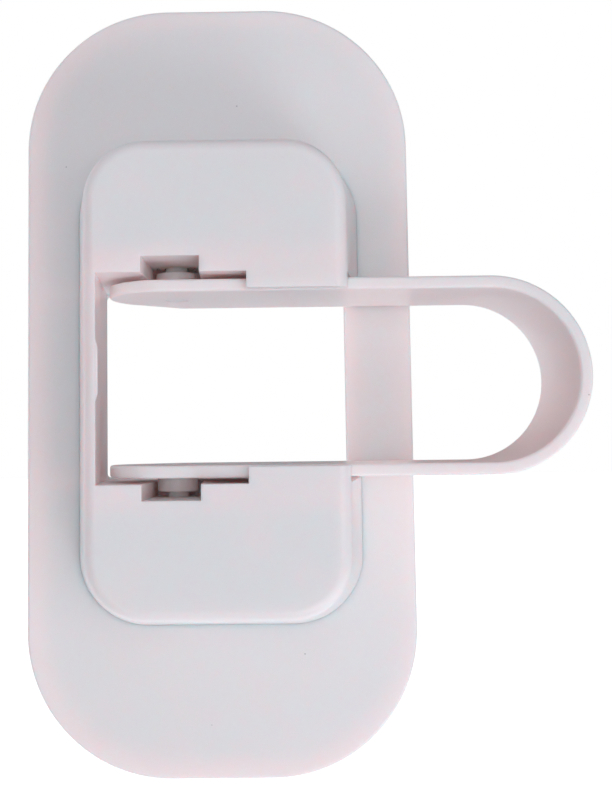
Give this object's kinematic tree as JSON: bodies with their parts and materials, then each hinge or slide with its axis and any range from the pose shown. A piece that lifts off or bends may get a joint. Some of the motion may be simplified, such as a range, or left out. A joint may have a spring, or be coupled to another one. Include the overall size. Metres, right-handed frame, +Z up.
{
  "type": "stair gate latch",
  "caption": "Wall plate with a through-window, a raised C-shaped housing and a U-shaped bail that lies flat behind catch lips and swings out on pivot pins.",
  "frame": {"origin": "on the wall plane (the back of the adhesive tapes), at the centre of the plate", "axes": "+Z up along the plate, +X to the side the bail points to, +Y into the wall"},
  "size_m": [0.1192, 0.0351, 0.1752],
  "materials": {
    "white_shell": "semi-gloss moulded white",
    "white_bail": "semi-gloss moulded white",
    "bush_nylon": "natural nylon",
    "screw_zinc": "zinc plated",
    "tape_foam": "white closed-cell foam"
  },
  "bodies": {
    "wall_unit": {"base_plate": "white_shell", "housing": "white_shell", "upper_catch_lip": "white_shell", "lower_catch_lip": "white_shell", "upper_pivot_bush": "bush_nylon", "lower_pivot_bush": "bush_nylon", "housing_screw_1": "screw_zinc", "housing_screw_2": "screw_zinc", "housing_screw_3": "screw_zinc", "housing_screw_4": "screw_zinc", "housing_screw_5": "screw_zinc", "housing_screw_6": "screw_zinc", "foam_tape_upper": "tape_foam", "foam_tape_lower": "tape_foam", "foam_tape_left": "tape_foam", "foam_tape_right": "tape_foam"},
    "bail": {"bail_strap": "white_bail", "upper_pivot_pin": "white_bail", "lower_pivot_pin": "white_bail"}
  },
  "joints": [
    {"name": "bail_swing", "type": "hinge", "parent": "wall_unit", "child": "bail", "pos_m": [-0.0086, -0.0182, 0], "axis": [0, 0, -1], "range_deg": [0, 93], "deforming": ["upper_catch_lip", "lower_catch_lip"]}
  ]
}
